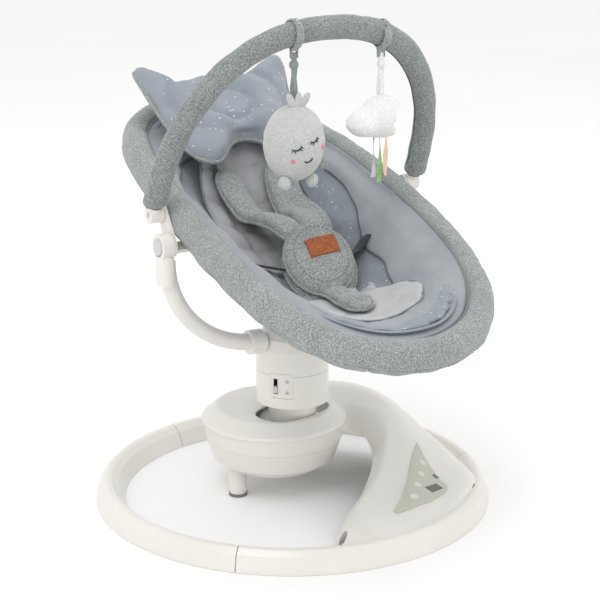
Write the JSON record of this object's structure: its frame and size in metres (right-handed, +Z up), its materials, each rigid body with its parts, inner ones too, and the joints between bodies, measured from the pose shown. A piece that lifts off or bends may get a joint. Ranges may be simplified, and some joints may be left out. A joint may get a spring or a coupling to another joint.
{
  "type": "baby swing",
  "caption": "Powered baby swing: a padded reclining seat under a toy bar on a curved yoke and column, over a ring base with a control panel.",
  "frame": {"origin": "floor level, on the column's turning axis at the centre of the ring base", "axes": "+Z up, +Y towards the head end of the seat, +X to the side"},
  "size_m": [0.56, 0.6705, 0.6862],
  "materials": {
    "plastic": "satin",
    "dark_plastic": "matte",
    "grey_plastic": "satin",
    "panel_film": "satin",
    "steel": "satin",
    "tube_coat": "satin",
    "melange_knit": "melange knit",
    "star_print": "printed jersey",
    "insert_cloth": "jersey",
    "white_cloth": "velour",
    "webbing": "woven",
    "plush": "plush",
    "ribbon": "satin",
    "rubber": "matte",
    "leather": "smooth",
    "clear": "gloss"
  },
  "bodies": {
    "base": {"front_shell": "plastic", "left_ring_tube": "plastic", "right_ring_tube": "plastic", "ring_spigots": "grey_plastic", "control_panel": "panel_film", "touch_keys": "panel_film", "display_window": "clear", "infrared_window": "clear", "housing_tray": "plastic", "support_legs": "plastic", "rubber_feet": "rubber", "chassis_plate": "steel", "bearing_blocks": "dark_plastic", "gearbox": "dark_plastic", "drive_motor": "steel", "control_board": "dark_plastic", "loudspeaker": "dark_plastic", "power_socket": "dark_plastic", "tray_screws": "steel"},
    "crank": {"crank": "steel"},
    "rocker": {"swing_axle": "steel", "rocker": "dark_plastic", "column_neck": "plastic", "slot_cover": "grey_plastic"},
    "column": {"column_skirt": "plastic", "column_head": "plastic", "switch_plate": "plastic", "plate_screws": "steel", "yoke_collars": "plastic", "left_yoke_tube": "tube_coat", "right_yoke_tube": "tube_coat", "left_knuckle": "plastic", "right_knuckle": "plastic"},
    "left_button": {"left_recline_button": "grey_plastic"},
    "right_button": {"right_recline_button": "grey_plastic"},
    "lock_slider": {"turn_lock_slider": "grey_plastic"},
    "seat": {"seat_frame": "steel", "seat_brackets": "plastic", "rim_cover": "melange_knit", "seat_shell": "star_print", "seat_liner": "star_print", "back_insert": "insert_cloth", "foot_bolster": "white_cloth", "shoulder_pads": "melange_knit", "harness_webbing": "webbing", "crotch_pad": "melange_knit", "buckle_cover": "melange_knit", "harness_buckle": "dark_plastic", "leather_patch": "leather", "headrest_pillow": "star_print"},
    "toy_bar": {"toy_bar_sleeve": "melange_knit", "toy_bar_tube": "steel", "toy_bar_ends": "plastic", "toy_loops": "melange_knit"},
    "egg": {"egg_strap": "melange_knit", "egg_plush": "plush", "egg_trim": "plush"},
    "cloud": {"cloud_strap": "white_cloth", "cloud_plush": "white_cloth", "cloud_ribbons": "ribbon"}
  },
  "joints": [
    {"name": "column_swing", "type": "hinge", "parent": "base", "child": "rocker", "pos_m": [0, 0, 0.05], "axis": [-0.2419, 0.9703, 0], "range_deg": [-8, 8]},
    {"name": "crank_turn", "type": "hinge", "parent": "base", "child": "crank", "pos_m": [-0.02274, 0.09121, 0.084], "axis": [-0.2419, 0.9703, 0], "range_deg": [-90, 90]},
    {"name": "seat_turn", "type": "hinge", "parent": "rocker", "child": "column", "pos_m": [0, 0, 0.19], "axis": [0, 0, 1], "range_deg": [-76, 104]},
    {"name": "recline", "type": "hinge", "parent": "column", "child": "seat", "pos_m": [0, -0.01041, 0.38954], "axis": [1, 0, 0], "range_deg": [-10, 12]},
    {"name": "left_recline_press", "type": "slide", "parent": "column", "child": "left_button", "axis": [1, 0, 0], "range_m": [0, 0.003], "stiffness_N_per_m": 600},
    {"name": "right_recline_press", "type": "slide", "parent": "column", "child": "right_button", "axis": [-1, 0, 0], "range_m": [0, 0.003], "stiffness_N_per_m": 600},
    {"name": "turn_lock", "type": "slide", "parent": "column", "child": "lock_slider", "axis": [0, 0, 1], "range_m": [0, 0.008]},
    {"name": "toy_bar_turn", "type": "hinge", "parent": "seat", "child": "toy_bar", "pos_m": [0, 0.01137, 0.42846], "axis": [1, 0, 0], "range_deg": [-40, 40]},
    {"name": "egg_hang", "type": "hinge", "parent": "toy_bar", "child": "egg", "pos_m": [-0.053, -0.09401, 0.63814], "axis": [1, 0, 0], "range_deg": [-25, 25]},
    {"name": "cloud_hang", "type": "hinge", "parent": "toy_bar", "child": "cloud", "pos_m": [0.082, -0.09034, 0.62989], "axis": [1, 0, 0], "range_deg": [-25, 25]}
  ],
  "couplings": [
    {"joint": "crank_turn", "follows": "column_swing", "ratio": 11.25}
  ]
}
